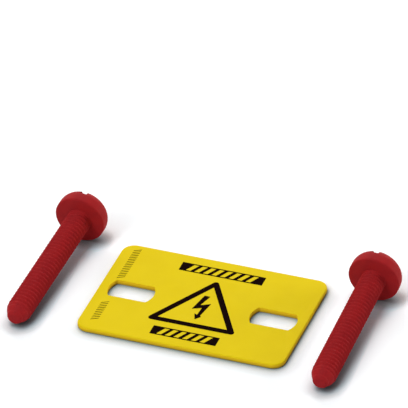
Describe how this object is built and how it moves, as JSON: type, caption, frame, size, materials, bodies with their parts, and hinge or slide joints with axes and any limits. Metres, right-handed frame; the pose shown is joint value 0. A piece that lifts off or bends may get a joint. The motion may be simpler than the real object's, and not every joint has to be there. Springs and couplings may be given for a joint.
{
  "type": "high voltage warning sign",
  "caption": "Small yellow plastic plate with a printed lightning flash in a triangle and a long slot at each end, with its red slotted pan head plastic screws beside it.",
  "frame": {"origin": "on the back face of the plate, under the middle of its outline", "axes": "+X along the plate towards its right end, +Y towards the top point of the printed triangle, +Z out of the printed face"},
  "size_m": [0.0567, 0.0289, 0.0083],
  "materials": {
    "yellow_plastic": "satin moulded plastic",
    "black_ink": "printed ink",
    "red_plastic": "satin moulded plastic"
  },
  "bodies": {
    "root": {"sign_plate": "yellow_plastic", "printed_triangle": "black_ink", "printed_flash": "black_ink", "printed_band_top": "black_ink", "printed_band_bottom": "black_ink", "screw_left": "red_plastic", "screw_right": "red_plastic"}
  },
  "joints": []
}
